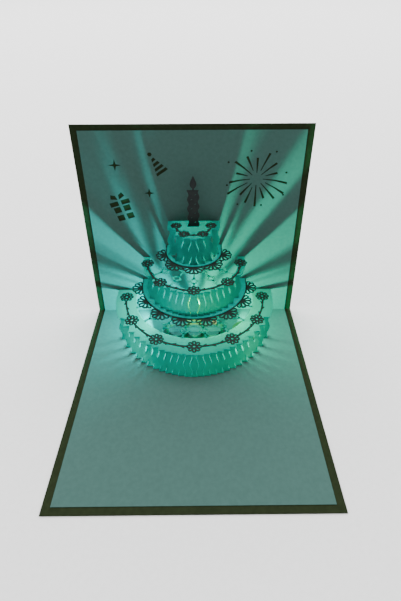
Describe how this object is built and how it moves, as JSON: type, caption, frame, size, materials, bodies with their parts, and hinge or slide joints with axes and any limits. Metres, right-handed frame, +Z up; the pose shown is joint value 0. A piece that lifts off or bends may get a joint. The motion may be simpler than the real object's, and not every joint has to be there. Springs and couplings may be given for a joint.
{
  "type": "pop-up card",
  "caption": "Square greeting card standing open at a right angle, with a half-round tiered paper cake on its panels, lace, garlands, a candle and a light and sound module inside.",
  "frame": {"origin": "middle of the lying base panel's underside, which is the bottom middle of the bounding box", "axes": "+X to the right as the open card is read, +Y towards the standing back panel, +Z up"},
  "size_m": [0.152, 0.1498, 0.1498],
  "materials": {
    "cover_card": "matt, dark olive",
    "lining_paper": "matt, grey-teal",
    "tier_paper": "matt, lets light through",
    "lace_paper": "matt, dark green",
    "candle_card": "matt, dark green",
    "board": "satin",
    "chip": "matt",
    "cell": "satin",
    "clip": "satin",
    "contact": "satin",
    "film": "satin",
    "led": "gloss, lit",
    "sounder": "satin"
  },
  "bodies": {
    "root": {"cover": "cover_card", "lining": "lining_paper", "bottom_tier": "tier_paper", "middle_tier": "tier_paper", "top_tier": "tier_paper", "middle_collar": "lace_paper", "top_collar": "lace_paper", "bottom_garland": "lace_paper", "middle_garland": "lace_paper", "top_garland": "lace_paper", "candle": "candle_card", "circuit_board": "board", "sound_chip": "chip", "button_cell_1": "cell", "button_cell_2": "cell", "button_cell_3": "cell", "battery_clip": "clip", "contact_leaf": "contact", "led_strip": "film", "led_left": "led", "led_right": "led", "speaker": "sounder"}
  },
  "joints": []
}
